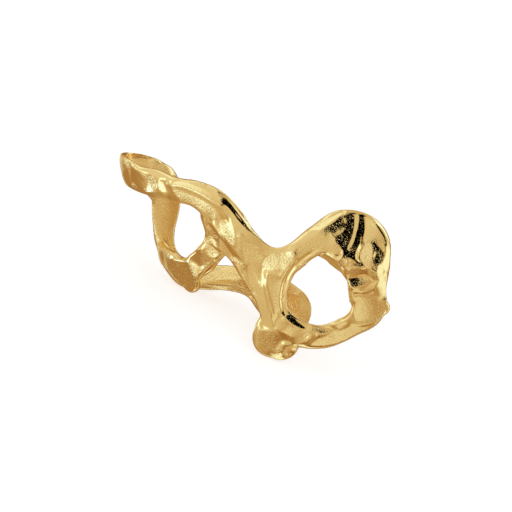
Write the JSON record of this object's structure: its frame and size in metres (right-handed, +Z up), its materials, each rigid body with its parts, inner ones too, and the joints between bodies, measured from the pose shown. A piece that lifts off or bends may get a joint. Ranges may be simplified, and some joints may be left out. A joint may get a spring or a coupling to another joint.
{
  "type": "ear cuff",
  "caption": "Cast metal ear cuff: a pierced, molten-looking front that bends back into an arm with a flat paddle, laid on its side.",
  "frame": {"origin": "bottom centre of the box round the cuff, on the surface that it lies on", "axes": "+Z up; +X along the front from the bend to the pierced lobe, level; +Y away from the side that shows the front"},
  "size_m": [0.03, 0.0152, 0.0152],
  "materials": {
    "gold": "polished, with a fine cast grain"
  },
  "bodies": {
    "root": {"ear_cuff": "gold"}
  },
  "joints": []
}
